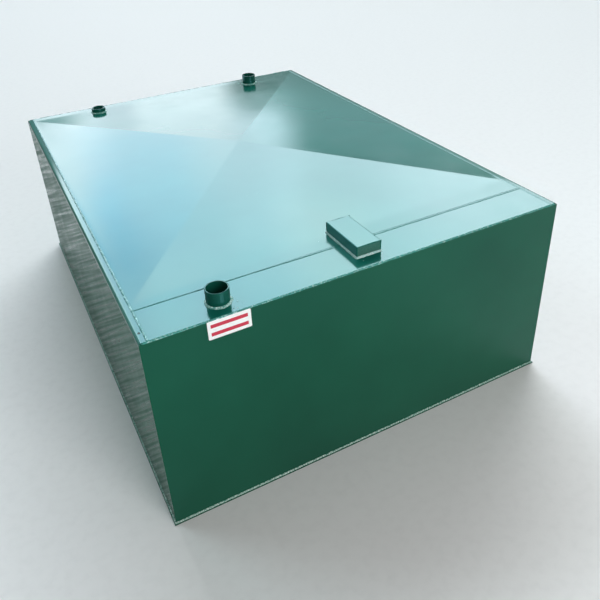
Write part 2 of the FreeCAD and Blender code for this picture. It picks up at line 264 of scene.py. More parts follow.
# The sheen of wet green paint, which is cool, and of the white dust on it.
SHEEN = (0.3, 0.85, 1.0, 1.0)
WHITE = (1.0, 1.0, 1.0, 1.0)


def spray_passes(tree, place):
    """The passes of a spray gun on a side wall, a fan of straight streaks swung from SPRAY_STAND: noise
    over the distance from there and the angle round it. Returns it as it is, and as a share of dry spray
    that is 0 on the fold and the flange."""
    away = add(tree, "ShaderNodeVectorMath", {0: place, 1: SPRAY_STAND}, operation="SUBTRACT")
    flat = add(
        tree, "ShaderNodeVectorMath", {0: away.outputs["Vector"], 1: IN_THE_WALL}, operation="MULTIPLY",
    ).outputs["Vector"]
    reach = add(tree, "ShaderNodeVectorMath", {0: flat}, operation="LENGTH")
    sides = add(tree, "ShaderNodeSeparateXYZ", {"Vector": flat})
    swing = add(
        tree, "ShaderNodeMath", {0: sides.outputs["Z"], 1: sides.outputs["Y"]}, operation="ARCTAN2",
    )
    fan = add(tree, "ShaderNodeCombineXYZ", {"X": reach.outputs["Value"], "Y": swing.outputs[0]})
    swept = add(
        tree, "ShaderNodeMapping",
        {"Vector": fan.outputs["Vector"], "Scale": STREAKS_PER_METRE_AND_RADIAN},
    )
    passes = add(
        tree, "ShaderNodeTexNoise",
        {"Vector": swept.outputs["Vector"], "Scale": 1.0, "Detail": 3.0, "Roughness": 0.5},
    ).outputs["Fac"]
    height = add(tree, "ShaderNodeSeparateXYZ", {"Vector": place}).outputs["Z"]
    wall = add(
        tree, "ShaderNodeMapRange",
        {"Value": height, "From Min": WALL_TOP_RANGE[0], "From Max": WALL_TOP_RANGE[1]},
        interpolation_type="SMOOTHSTEP",
    )
    streaks = add(
        tree, "ShaderNodeMapRange",
        {"Value": passes, "From Min": STREAK_RANGE[0], "From Max": STREAK_RANGE[1]},
    )
    share = add(
        tree, "ShaderNodeMath", {0: wall.outputs["Result"], 1: streaks.outputs["Result"]},
        operation="MULTIPLY",
    )
    return passes, share.outputs[0]


def gloss_enamel(
    name, green, dust, dust_range, rough, peel, sag=0.0, sheen_tint=SHEEN, ior=1.5, level=0.5, dry=0.0,
):
    """Air-drying gloss alkyd enamel sprayed on steel: a dark green film with the sheen of wet paint, fine
    orange peel from the spray gun (drawn at 5 mm so that it shows), a slow change of tone where the coats
    overlap, and pale dust or overspray where the noise in dust_range says so; on the welds these pale
    specks are also painted highlights. Peel and sag are heights in mm. A dry share roughens a side wall in
    streaks and greys it a little, a grey that is partly a painted reflection."""
    material, tree, output, place = new_material(name)
    coats = add(
        tree, "ShaderNodeTexNoise", {"Vector": place, "Scale": COATS, "Detail": 3.0, "Roughness": 0.5},
    )
    tone = add(
        tree, "ShaderNodeMapRange",
        {
            "Value": coats.outputs["Fac"], "From Min": NOISE_LOW, "From Max": NOISE_HIGH,
            "To Min": TONE_LOW, "To Max": TONE_HIGH,
        },
    )
    film = add(
        tree, "ShaderNodeVectorMath", {0: linear(green)[:3], "Scale": tone.outputs["Result"]},
        operation="SCALE",
    )
    specks = add(
        tree, "ShaderNodeTexNoise", {"Vector": place, "Scale": SPECKS, "Detail": 4.0, "Roughness": 0.65},
    )
    # Pale specks: dust on the sheets, and on the welds also painted highlights.
    dust_and_highlight_share = add(
        tree, "ShaderNodeMapRange",
        {"Value": specks.outputs["Fac"], "From Min": dust_range[0], "From Max": dust_range[1]},
    )
    colour = add(
        tree, "ShaderNodeMix",
        {"Factor": dust_and_highlight_share.outputs["Result"], "A": film.outputs["Vector"], "B": linear(dust)},
        data_type="RGBA",
    ).outputs["Result"]
    patches = add(
        tree, "ShaderNodeTexNoise", {"Vector": place, "Scale": PATCHES, "Detail": 5.0, "Roughness": 0.6},
    )
    roughness = add(
        tree, "ShaderNodeMapRange",
        {
            "Value": patches.outputs["Fac"], "From Min": NOISE_LOW, "From Max": NOISE_HIGH,
            "To Min": rough * SMOOTHER, "To Max": rough * ROUGHER,
        },
    ).outputs["Result"]
    slack = add(
        tree, "ShaderNodeTexNoise", {"Vector": place, "Scale": SAGS, "Detail": 1.0, "Roughness": 0.4},
    )
    normal = add(
        tree, "ShaderNodeBump", {"Height": slack.outputs["Fac"], "Distance": sag * MM, "Strength": 1.0},
    ).outputs["Normal"]
    if dry:
        passes, share = spray_passes(tree, place)
        # Greys the wall in streaks: partly dry spray, partly a painted reflection of grey ground.
        dry_grey_and_reflection_share = add(tree, "ShaderNodeMath", {0: share, 1: DRY_TINT}, operation="MULTIPLY")
        colour = add(
            tree, "ShaderNodeMix", {"Factor": dry_grey_and_reflection_share.outputs[0], "A": colour, "B": linear(DRY_SPRAY_GREY_AND_PAINTED_REFLECTION)},
            data_type="RGBA",
        ).outputs["Result"]
        roughness = add(
            tree, "ShaderNodeMath", {0: share, 1: dry, 2: roughness}, operation="MULTIPLY_ADD",
        ).outputs[0]
        normal = add(
            tree, "ShaderNodeBump", {"Height": passes, "Distance": dry * LAP_HEIGHT * MM, "Normal": normal},
        ).outputs["Normal"]
    droplets = add(
        tree, "ShaderNodeTexNoise", {"Vector": place, "Scale": PEEL, "Detail": 2.0, "Roughness": 0.5},
    )
    peeled = add(
        tree, "ShaderNodeBump",
        {"Height": droplets.outputs["Fac"], "Distance": peel * MM, "Strength": 1.0, "Normal": normal},
    )
    shader = add(
        tree, "ShaderNodeBsdfPrincipled",
        {
            "Base Color": colour,
            "Roughness": roughness,
            "IOR": ior,
            "Specular Tint": sheen_tint,
            "Specular IOR Level": level,
            "Normal": peeled.outputs["Normal"],
        },
    )
    tree.links.new(shader.outputs["BSDF"], output.inputs["Surface"])
    return material


# The range of noise in which a matt coat's flecks show, and the height of its tooth in mm.
FLECK_RANGE = (0.45, 0.75)
TOOTH = 0.01


def flat_coat(name, colour, fleck, rough, grain):
    """A thin matt coat: primer, vinyl or ink, with a faint fleck and a fine tooth, both of the given grain
    in mm."""
    material, tree, output, place = new_material(name)
    noise = add(
        tree, "ShaderNodeTexNoise",
        {"Vector": place, "Scale": 1000.0 / grain, "Detail": 3.0, "Roughness": 0.6},
    ).outputs["Fac"]
    share = add(
        tree, "ShaderNodeMapRange",
        {"Value": noise, "From Min": FLECK_RANGE[0], "From Max": FLECK_RANGE[1]},
    )
    mixed = add(
        tree, "ShaderNodeMix",
        {"Factor": share.outputs["Result"], "A": linear(colour), "B": linear(fleck)},
        data_type="RGBA",
    )
    tooth = add(tree, "ShaderNodeBump", {"Height": noise, "Distance": TOOTH * MM, "Strength": 1.0})
    shader = add(
        tree, "ShaderNodeBsdfPrincipled",
        {"Base Color": mixed.outputs["Result"], "Roughness": rough, "Normal": tooth.outputs["Normal"]},
    )
    tree.links.new(shader.outputs["BSDF"], output.inputs["Surface"])
    return material


# How much of a coat is dusty: the lower the range of the specks' noise, the more of them show.
FEW_SPECKS = (0.66, 0.85)
SOME_SPECKS = (0.62, 0.85)

# How deep the film sags on the large sheets, in mm.
SAG = 0.25

GREEN = "#19533e"
DUSTY_GREEN = "#2c6a5a"
TEAL_DUST = "#3c8172"

# Clean film on the sheets, smooth as it left the gun. The left side got dry spray, so it is duller.
front_enamel = gloss_enamel(
    "gloss_enamel_on_front", GREEN, DUSTY_GREEN, FEW_SPECKS, rough=0.12, peel=0.012, sag=SAG, ior=1.3,
)
# The top's green is lighter and tealer than the front's, though it is the same paint: painted light, for
# the light the top gets from the sky above.
top_enamel_painted_lighter = gloss_enamel(
    "gloss_enamel_on_top", "#136658", TEAL_DUST, FEW_SPECKS, rough=0.12, peel=0.012, sag=SAG,
)
# The box's green is lighter again, though it is the same paint: painted light, to lift its dimly lit faces.
box_enamel_painted_lighter = gloss_enamel(
    "gloss_enamel_painted_lighter_on_box", "#207063", TEAL_DUST, FEW_SPECKS, rough=0.12, peel=0.012, sag=SAG,
)
left_enamel = gloss_enamel(
    "gloss_enamel_on_left_side", GREEN, DUSTY_GREEN, SOME_SPECKS, rough=0.2, peel=0.03, sag=SAG,
    level=0.17, dry=0.3,
)
right_enamel = gloss_enamel(
    "gloss_enamel_on_right_side", GREEN, DUSTY_GREEN, SOME_SPECKS, rough=0.16, peel=0.03, sag=SAG,
    level=0.4,
)
flange_enamel = gloss_enamel(
    "gloss_enamel_on_flanges", "#2c6454", DUSTY_GREEN, SOME_SPECKS, rough=0.14, peel=0.02, sag=SAG,
)
fitting_enamel = gloss_enamel(
    "gloss_enamel_on_fittings", "#14584a", DUSTY_GREEN, SOME_SPECKS, rough=0.1, peel=0.02,
)
# Film over rough beads and cut edges, where pale overspray and grinding dust were caught. On the beads the
# pale colour and the pale specks are also painted highlights, the glints that their ripples catch.
# The box ends' film is lighter and greyer than the box's: partly dust, partly painted light that the bright
# strip throws up on them.
end_enamel_dust_and_painted_light = gloss_enamel(
    "dusty_and_painted_light_enamel_on_box_ends", "#3c6a5f", "#568273", (0.5, 0.75), rough=0.2, peel=0.02,
)
seam_enamel_with_painted_highlights = gloss_enamel(
    "gloss_enamel_with_painted_highlights_on_seams", "#1f6a5d", "#b4dfd9", (0.48, 0.66), rough=0.16, peel=0.05,
)
edge_enamel_with_painted_highlights = gloss_enamel(
    "gloss_enamel_with_painted_highlights_on_top_edges", "#458f82", "#cfe9e4", (0.52, 0.7), rough=0.15, peel=0.04,
)
weld_enamel_with_painted_highlights = gloss_enamel(
    "pale_enamel_with_painted_highlights_on_fillets", "#5fb0a4", "#dffaf5", (0.44, 0.66), rough=0.2, peel=0.05, sheen_tint=WHITE,
)
box_weld_enamel_with_painted_highlights = gloss_enamel(
    "pale_enamel_with_painted_highlights_on_box_fillet", "#9fd2cd", "#eefcfa", (0.44, 0.66), rough=0.2, peel=0.05,
    sheen_tint=WHITE,
)
foot_enamel_with_painted_highlights = gloss_enamel(
    "dusty_enamel_with_painted_highlights_on_base_weld", "#3f8270", "#cfe3d8", (0.42, 0.66), rough=0.25, peel=0.05,
    sheen_tint=WHITE,
)
# Matt coats: zinc primer on the inner tank, dark paint in the pit that is painted shade of the hole, the
# label's vinyl and its ink.
primer = flat_coat("grey_zinc_primer", "#7d8583", "#8c9391", rough=0.65, grain=2.0)
pit_painted_shade = flat_coat("dark_paint_for_shade_in_a_pit", "#25423b", "#1a2f2a", rough=0.6, grain=1.0)
vinyl = flat_coat("white_label_vinyl", "#fafbfa", "#f0f2f1", rough=0.38, grain=6.0)
ink = flat_coat("red_screen_ink", "#c9233f", "#cf3f58", rough=0.42, grain=4.0)


# Sheet metal.
def rim_track(corners, counts, crowd):
    """Points round a four-sided loop, side by side. Each side has its own count, and they crowd towards
    the corners by the sum of an even and a cosine spacing."""
    sides = []
    for i in range(4):
        even = np.arange(counts[i]) / counts[i]
        bunched = 0.5 - 0.5 * np.cos(np.pi * even)
        part = (1 - crowd) * even + crowd * bunched
        sides.append(corners[i] + (corners[(i + 1) % 4] - corners[i]) * part[:, None])
    return np.concatenate(sides)


# The top sheet's grid, its slack, which sets in as the rise squared passes SLACK_RISE, and how its rim
# falls: a slope, and the places between which it starts.
SHEET_COLUMNS = (96, 112, 96, 112)
CROWD = 0.6
FACET_RINGS = 58
RING_POWER = 0.9
MARGIN_RINGS = 5
CREASE_NOSE = 0.05
SHEET_SLACK = 0.25
SLACK_RISE = 30
SLACK_LENGTHS = (610, 430, 340, 270)
RIM_FALL = 0.04
RIGHT_FALL_Y = (-640.0, -560.0)
BACK_FALL_X = (150.0, 450.0)
BACK_FALL_SHARE = 0.75


def make_top_sheet():
    """The cross-broken top as rings round the peak: ring r, column c lies on the straight line from the
    peak to point c of the rim, and past the rim on the line to the sheet's edge. Height is top_height with
    creases rounded to the press tool's nose, plus under half a millimetre of slack in each facet. On the
    right and at the back right the rim goes on falling as the facets do. The holes are left open."""
    outline = np.array(
        [
            (-SHEET_SIDE_X, SHEET_FRONT_Y),
            (SHEET_SIDE_X, SHEET_FRONT_Y),
            (SHEET_SIDE_X, SHEET_BACK_Y),
            (-SHEET_SIDE_X, SHEET_BACK_Y),
        ]
    )
    rim = rim_track(CREASE_ENDS, SHEET_COLUMNS, CROWD)
    edge = rim_track(outline, SHEET_COLUMNS, CROWD)
    peak = np.array([PEAK_X, PEAK_Y])
    inward = np.linspace(0.0, 1.0, FACET_RINGS) ** RING_POWER
    flat = np.linspace(0.0, 1.0, MARGIN_RINGS)[1:]
    facets = peak + (rim - peak) * inward[:, None, None]
    margin = rim + (edge - rim) * flat[:, None, None]
    xy = np.concatenate([facets, margin])
    x = xy[..., 0]
    y = xy[..., 1]
    rise = np.maximum(facet_planes(x, y).min(axis=-1), 0.0)
    slack = SHEET_SLACK * (1 - np.exp(-(rise**2) / SLACK_RISE))
    z = top_height(x, y, CREASE_NOSE) + slack * waves(x, y, SLACK_LENGTHS, 4)
    aside = np.maximum(x - CREASE_ENDS[2, 0], 0) * smooth_step(y, *RIGHT_FALL_Y)
    behind = np.maximum(y - CREASE_ENDS[2, 1], 0) * smooth_step(x, *BACK_FALL_X)
    z = z - RIM_FALL * (aside + BACK_FALL_SHARE * behind)
    points = np.stack([x, y, z], axis=-1)
    faces = grid_faces(*x.shape, columns_close=True)
    for centre, radius in ((TANK_VENT, PIPE_RADIUS), (FILL, SOCKET_RADIUS)):
        away = points.reshape(-1, 3)[faces][..., :2].mean(axis=1) - centre
        faces = faces[np.hypot(away[:, 0], away[:, 1]) > radius]
        out = points[..., :2] - centre
        distance = np.hypot(out[..., 0], out[..., 1])
        near = distance < radius + 1.0
        rounded = centre + out / np.maximum(distance, 1.0)[..., None] * (radius + 1.0)
        points[..., :2] = np.where(near[..., None], rounded, points[..., :2])
    return make_piece("tank_top_sheet_enamelled", points, faces, top_enamel_painted_lighter, "tank_top_sheet", merge=0.001)


# A side panel's droop in degrees and where it changes, its grid, and its belly, which is free between two
# distances from the foot, the top and the ends.
NEAR_DROOP = 2.5
FAR_DROOP = 10.0
LEFT_DROOP_CHANGE = (-100.0, 400.0)
RIGHT_DROOP = 2.6
RIGHT_DROOP_CHANGE = (-690.0, -580.0)
DROOP_START = (2.0, 24.0)
FREE_OF_FOOT = (BASE_TOP, 90.0)
FREE_OF_TOP = (12, 90)
FREE_OF_ENDS = (4.0, 60.0)
PANEL_STATIONS = 142
WALL_ROWS = 46
FOLD_ROWS = 8
FLANGE_ROWS = 4
ROLL_PITCH = 74
ROLL_HEIGHT = 0.1
ROLL_PHASE_LENGTHS = (900, 520, 330)
ROLL_DEPTH_LENGTHS = (420, 260, 180)
DENT_HEIGHT = 0.25
DENT_LENGTHS = (760, 430, 290)


def make_side_panel(side, node, near_droop, far_droop, change, paint):
    """A side panel: its outline from the foot, up the wall, round the fold and along the flange, carried
    along Y. The weld pulled the flange, which droops towards its fold by near_droop degrees in front and
    far_droop behind, smoothly between the two places of change. The wall bellies by a few tenths of a
    millimetre, most at mid height: rolls, a sine up the wall whose phase and depth waves change, plus
    dents, which are waves too."""
    along = np.linspace(-WALL_Y + SHEET, WALL_Y - SHEET, PANEL_STATIONS)
    ends = smooth_step(WALL_Y + along, *DROOP_START)
    droop = np.radians(near_droop + (far_droop - near_droop) * smooth_step(along, *change)) * ends
    tangent = WALL_X - FOLD_RADIUS * (1 - np.sin(droop))
    centre_z = TOP - np.tan(droop) * (tangent - FLANGE_INNER) - FOLD_RADIUS * np.cos(droop)
    wall = np.linspace(0, 1, WALL_ROWS)[:, None]
    angle = np.linspace(0, 1, FOLD_ROWS)[1:, None] * (QUARTER - droop)
    fold_x = WALL_X - FOLD_RADIUS + FOLD_RADIUS * np.cos(angle)
    flange_x = tangent + (FLANGE_INNER - tangent) * np.linspace(0, 1, FLANGE_ROWS)[1:, None]
    outline_x = np.concatenate([np.full((WALL_ROWS, along.size), WALL_X), fold_x, flange_x])
    z = np.concatenate(
        [
            BASE_TOP + (centre_z - BASE_TOP) * wall,
            centre_z + FOLD_RADIUS * np.sin(angle),
            TOP - np.tan(droop) * (flange_x - FLANGE_INNER),
        ]
    )
    y = np.broadcast_to(along, z.shape)
    free = smooth_step(z, *FREE_OF_FOOT) * smooth_step(-z, -TOP + FREE_OF_TOP[0], -TOP + FREE_OF_TOP[1])
    free = free * smooth_step(WALL_Y - np.abs(y), *FREE_OF_ENDS)
    phase = 0.9 * waves(y, z, ROLL_PHASE_LENGTHS, 7 + side)
    depth = 0.6 + 0.4 * waves(y, z, ROLL_DEPTH_LENGTHS, 11 + side)
    rolls = ROLL_HEIGHT * np.sin(TURN * z / ROLL_PITCH + phase) * depth
    dents = DENT_HEIGHT * waves(y, z, DENT_LENGTHS, 15 + side)
    x = side * (outline_x + free * (rolls + dents))
    points = np.stack([x, y, z], axis=-1)
    faces = grid_faces(*x.shape)
    if side < 0:
        faces = faces[:, ::-1]
    return make_piece(node + "_enamelled", points, faces, paint, node)


def paint_flange(piece):
    """Gives the fold and the flange of a side panel, all above the wall's top, the flange's own finish."""
    mesh = piece.data
    mesh.materials.append(flange_enamel)
    middles = np.empty(len(mesh.polygons) * 3)
    mesh.polygons.foreach_get("center", middles)
    above = middles.reshape(-1, 3)[:, 2] > (TOP - FOLD_RADIUS - 1.0) * MM
    mesh.polygons.foreach_set("material_index", above.astype(np.int32))


# Welds. A fillet fills the corner between two faces, and a butt weld crowns a gap and reaches down it.
# What varies along a bead has an amount, a share or an angle, and a spacing in mm.
RIPPLE_PITCH = 2.6
CRESCENT_LAG = 1.6
BEAD_STEP = 0.9
FINE_STEP = 0.8
PHASE_DRIFT = 1.4
PHASE_SPACING = 17
LUMP = 0.05
LUMP_SPACING = 4.1
SWELL = 0.07
SWELL_SPACING = 9.0
SLOW_SWELL = 0.05
SLOW_SWELL_SPACING = 31.0
END_TAPER = 5.0
CROSS_REACH = 2.2
CROSS_WIDENING = 2.6
CROSS_CHANGE_X = (-330.0, -60.0)
FILLET = {"span": QUARTER, "root": np.array([[0.0, 0.0]])}
BUTT = {"span": np.pi, "root": np.array([[-0.5, -SHEET], [0.5, -SHEET]])}


def upright(count):
    """The upward direction, once for each point of a path."""
    return np.broadcast_to(np.array([0.0, 0.0, 1.0]), (count, 3))


def carry_bead(
    name, node, path, side, reach, height, span, root, closed, seed,
    up=None, roundness=0.45, ripple=0.09, paint=weld_enamel_with_painted_highlights,
):
    """A weld bead: a section carried along a path. The section runs round the angle from side to up and on
    to span, at a radius between the straight chord (roundness 0) and the full ellipse (roundness 1). Reach
    and height wander along the path, crescent ripples follow a skewed cosine of RIPPLE_PITCH, the middle
    of the bead lags behind its edges, and root closes the section."""
    if up is None:
        up = upright(len(path))
    step = np.roll(path, -1, axis=0) - path
    step = np.linalg.norm(step, axis=1)
    length = step.sum() if closed else step[:-1].sum()
    at = np.concatenate([[0.0], np.cumsum(step)[:-1]])
    angle = np.linspace(-0.1, span + 0.1, 9 if span < 2 else 11)
    middle = np.sin(np.pi * np.clip(angle / span, 0, 1))
    chord = 1 / np.maximum(np.abs(np.cos(angle)) + np.abs(np.sin(angle)), 0.5)
    radius = chord + (1 - chord) * roundness
    travel = (at[:, None] + CRESCENT_LAG * middle[None, :]) / RIPPLE_PITCH
    phase = TURN * travel + PHASE_DRIFT * wander(at, length, PHASE_SPACING, seed + 3)[:, None]
    crescents = ripple * (np.cos(phase + 0.5 * np.sin(phase)) - 0.2) * (0.35 + 0.65 * middle)
    lumps = LUMP * wander(at, length, LUMP_SPACING, seed)[:, None] * np.ones_like(middle)
    swells = SWELL * wander(at, length, SWELL_SPACING, seed + 1)
    wide = 1 + swells + SLOW_SWELL * wander(at, length, SLOW_SWELL_SPACING, seed + 2)
    ends = np.ones_like(at)
    if not closed:
        ends = 0.45 + 0.55 * smooth_step(np.minimum(at, length - at), 0.0, END_TAPER)
    swell = (radius * (1 + crescents + lumps)) * (wide * ends)[:, None]
    offset = (
        side[:, None, :] * (swell * np.cos(angle) * reach)[..., None]
        + up[:, None, :] * (swell * np.sin(angle) * height)[..., None]
    )
    skin = path[:, None, :] + offset
    buried = path[:, None, :] + side[:, None, :] * root[:, :1] + up[:, None, :] * root[:, 1:]
    points = np.concatenate([skin, buried], axis=1)
    rows, columns = points.shape[:2]
    faces = grid_faces(rows, columns, rows_close=closed, columns_close=True).tolist()
    if not closed:
        faces.append(list(range(columns)))
        faces.append(list(range((rows - 1) * columns, rows * columns)))
    return make_piece(name, points, faces, paint, node)


def straight(start, end, step=BEAD_STEP):
    """Evenly spaced points from start to end."""
    start = np.asarray(start, float)
    end = np.asarray(end, float)
    count = int(np.ceil(np.linalg.norm(end - start) / step)) + 1
    return start + (end - start) * np.linspace(0, 1, count)[:, None]


def round_loop(x0, x1, y0, y1, corner, step=BEAD_STEP):
    """A rectangle's outline with rounded corners, as points and the directions that face outwards there."""
    centres = np.array(
        [
            (x1 - corner, y0 + corner),
            (x1 - corner, y1 - corner),
            (x0 + corner, y1 - corner),
            (x0 + corner, y0 + corner),
        ]
    )
    points = []
    faces_out = []
    for i in range(4):
        turn = np.linspace((i - 1) * QUARTER, i * QUARTER, 6)
        out = np.stack([np.cos(turn), np.sin(turn)], axis=-1)
        arc = centres[i] + corner * out
        following = centres[(i + 1) % 4] + corner * out[-1]
        run = straight(arc[-1], following, step)[1:-1]
        points += [arc, run]
        faces_out += [out, np.broadcast_to(out[-1], run.shape)]
    return np.concatenate(points), np.concatenate(faces_out)


def level_side(out):
    """Outward directions in the plane as level directions in space."""
    return np.column_stack([out, np.zeros(len(out))])


def make_base_weld():
    """The fillet round the foot of the walls, on the base plate's ledge."""
    xy, out = round_loop(-WALL_X, WALL_X, -WALL_Y, WALL_Y, corner=0.5)
    path = np.column_stack([xy, np.full(len(xy), BASE_TOP)])
    return carry_bead(
        "weld_base_bead", "weld_base", path, level_side(out), reach=3.7, height=4.2, closed=True, seed=21,
        paint=foot_enamel_with_painted_highlights, **FILLET,
    )


def make_top_edge_weld(end, node):
    """The corner bead along the front or back top edge, from one side fold to the other."""
    reach_x = WALL_X - FOLD_RADIUS
    y = end * (WALL_Y - SHEET)
    path = straight((-reach_x, y, TOP - SHEET), (reach_x, y, TOP - SHEET))
    side = np.broadcast_to([0.0, float(end), 0.0], path.shape)
    return carry_bead(
        node + "_bead", node, path, side, reach=3.25, height=3.3, closed=False, seed=31 + end,
        roundness=0.9, paint=edge_enamel_with_painted_highlights, **FILLET,
    )


def make_side_seam(side, node, crown, ripple, paint):
    """The butt weld between a flange and the top, a low crown over the root gap."""
    x = side * SIDE_SEAM_X
    path = straight((x, -WALL_Y + SHEET, TOP), (x, WALL_Y - SHEET, TOP))
    across = np.broadcast_to([1.0, 0.0, 0.0], path.shape)
    return carry_bead(
        node + "_bead", node, path, across, reach=3.0, height=crown, closed=False, seed=41 + side,
        roundness=0.8, ripple=ripple, paint=paint, **BUTT,
    )


def make_cross_seam():
    """The butt weld across the top behind the cover strip, a low crown, thin at its left end and wider
    from the overflow box on."""
    path = straight((-SHEET_SIDE_X, CROSS_SEAM_Y, TOP), (SHEET_SIDE_X, CROSS_SEAM_Y, TOP))
    across = np.broadcast_to([0.0, 1.0, 0.0], path.shape)
    reach = CROSS_REACH + CROSS_WIDENING * smooth_step(path[:, :1], *CROSS_CHANGE_X)
    return carry_bead(
        "weld_cross_seam_bead", "weld_cross_seam", path, across, reach=reach, height=1.05, closed=False,
        seed=51, roundness=0.8, ripple=0.06, paint=top_enamel_painted_lighter, **BUTT,
    )


def make_ring_weld(node, centre, radius, seed):
    """The fillet round a pipe: its path is a circle that lies on the top."""
    turn = np.linspace(0, TURN, int(TURN * radius / FINE_STEP), endpoint=False)
    out = np.column_stack([np.cos(turn), np.sin(turn)])
    xy = np.array(centre) + radius * out
    path = np.column_stack([xy, top_height(xy[:, 0], xy[:, 1])])
    return carry_bead(
        node + "_bead", node, path, level_side(out), reach=4.4, height=4.4, closed=True, seed=seed,
        roundness=0.75, ripple=0.12, **FILLET,
    )


def make_box_weld():
    """The fillet round the foot of the overflow box."""
    xy, out = round_loop(*BOX_X, *BOX_Y, corner=0.6, step=FINE_STEP)
    path = np.column_stack([xy, top_height(xy[:, 0], xy[:, 1])])
    return carry_bead(
        "weld_overflow_box_bead", "weld_overflow_box", path, level_side(out), reach=4.5, height=4.5,
        closed=True, seed=71, roundness=0.6, ripple=0.13, paint=box_weld_enamel_with_painted_highlights, **FILLET,
    )


def make_end_joint(name, end_y, out):
    """The edge weld of an end plate of the overflow box: a fine bead up one side, across the top and down,
    on the cut edge of the folded sheet."""
    edge = 0.5
    low = TOP + 6.0
    high = BOX_TOP - edge
    left = BOX_X[0] + edge
    right = BOX_X[1] - edge
    corners = [(left, end_y, low), (left, end_y, high), (right, end_y, high), (right, end_y, low)]
    path = np.concatenate([straight(corners[i], corners[i + 1], FINE_STEP)[:-1] for i in range(3)])
    middle = np.array([(left + right) / 2, end_y, (low + high) / 2])
    inwards = middle - path
    inwards = inwards / np.linalg.norm(inwards, axis=1)[:, None]
    outwards = np.broadcast_to([0.0, float(out), 0.0], path.shape)
    return carry_bead(
        name, None, path, inwards, reach=1.4, height=0.9, span=np.pi, root=np.array([[0.0, -0.5]]),
        closed=False, seed=81, up=outwards, paint=fitting_enamel,
    )


# Fittings: sides of a turned form, the step and the most points along a line of its profile, and the
# lengths over which a thread runs out and starts, in mm.
FITTING_SIDES = 96
PROFILE_STEP = 0.3
PROFILE_POINTS = 120
THREAD_RUN_OUT = 3.0
THREAD_START = 0.6


def turned_fitting(name, node, centre, seat, profile, material, thread=None):
    """A pipe fitting: a closed profile of (radius, height) turned about its own axis. A thread, given as
    its lowest and highest height, its radius and its depth, takes a cosine groove of its pitch off the
    radius, moved up by one pitch for each turn. A depth below 0 stands inwards from a bore."""
    outline = np.array(profile)
    fine = []
    for start, end in zip(outline, np.roll(outline, -1, axis=0)):
        count = max(1, int(np.ceil(np.abs(end[1] - start[1]) / PROFILE_STEP)))
        count = min(count, PROFILE_POINTS)
        fine.append(start + (end - start) * (np.arange(count) / count)[:, None])
    outline = np.concatenate(fine)
    turn = np.linspace(0, TURN, FITTING_SIDES, endpoint=False)
    radius, angle = np.meshgrid(outline[:, 0], turn, indexing="ij")
    height = np.broadcast_to(outline[:, 1:], radius.shape)
    if thread:
        low, high, at_radius, depth = thread
        inside = smooth_step(height, low, low + THREAD_RUN_OUT)
        inside = inside * smooth_step(-height, -high, -high + THREAD_START)
        inside = inside * (np.abs(radius - at_radius) < 1.0)
        groove = 0.5 - 0.5 * np.cos(TURN * height / THREAD_PITCH - angle)
        radius = radius - depth * inside * groove
    x = centre[0] + radius * np.cos(angle)
    y = centre[1] + radius * np.sin(angle)
    faces = grid_faces(*radius.shape, rows_close=True, columns_close=True)
    return make_piece(name, np.stack([x, y, seat + height], axis=-1), faces, material, node)


def make_nipple(node, centre):
    """A pipe nipple: plain neck, taper thread to a chamfered end, and an open bore."""
    seat = float(top_height(*centre))
    start = NIPPLE_STAND - THREAD_LENGTH
    profile = [
        (PIPE_RADIUS, -NIPPLE_TAIL),
        (PIPE_RADIUS, start - 1.0),
        (THREAD_RADIUS, start),
        (THREAD_RADIUS, NIPPLE_STAND - 1.1),
        (THREAD_RADIUS - 1.0, NIPPLE_STAND),
        (PIPE_BORE + 0.3, NIPPLE_STAND),
        (PIPE_BORE, NIPPLE_STAND - 0.5),
        (PIPE_BORE, -NIPPLE_TAIL),
    ]
    thread = (start, NIPPLE_STAND - 1.0, THREAD_RADIUS, 0.85)
    return turned_fitting(node + "_threaded", node, centre, seat, profile, fitting_enamel, thread)


def make_fill_socket():
    """The fill socket: a thick plain ring with its thread inside."""
    seat = float(top_height(*FILL))
    profile = [
        (SOCKET_RADIUS, -SOCKET_TAIL),
        (SOCKET_RADIUS, SOCKET_STAND - 1.5),
        (SOCKET_RADIUS - 1.5, SOCKET_STAND),
        (SOCKET_BORE + 2.0, SOCKET_STAND),
        (SOCKET_BORE, SOCKET_STAND - 2.0),
        (SOCKET_BORE, -SOCKET_TAIL),
    ]
    thread = (-SOCKET_TAIL, SOCKET_STAND - 1.0, SOCKET_BORE, -1.1)
    return turned_fitting(
        "fill_socket_threaded", "fill_socket", FILL, seat, profile, fitting_enamel, thread,
    )


# Marks of the work: weld spatter and a pit in the flange.
# Spatter lies round a centre, from an inner to an outer distance, so many drops.
SPATTER = (
    (BUND_VENT, 36.0, 62.0, 7),
    (TANK_VENT, 36.0, 70.0, 9),
    (FILL, 34.0, 74.0, 12),
    ((6.0, -721.0), 62.0, 105.0, 9),
)
DROP_RADIUS = (0.9, 1.9)
DROP_SIDES = 6
DROP_RINGS = np.array([-0.4, 0.0, 0.5, 1.0, QUARTER - 0.02])
PIT = (-612.0, -809.5)


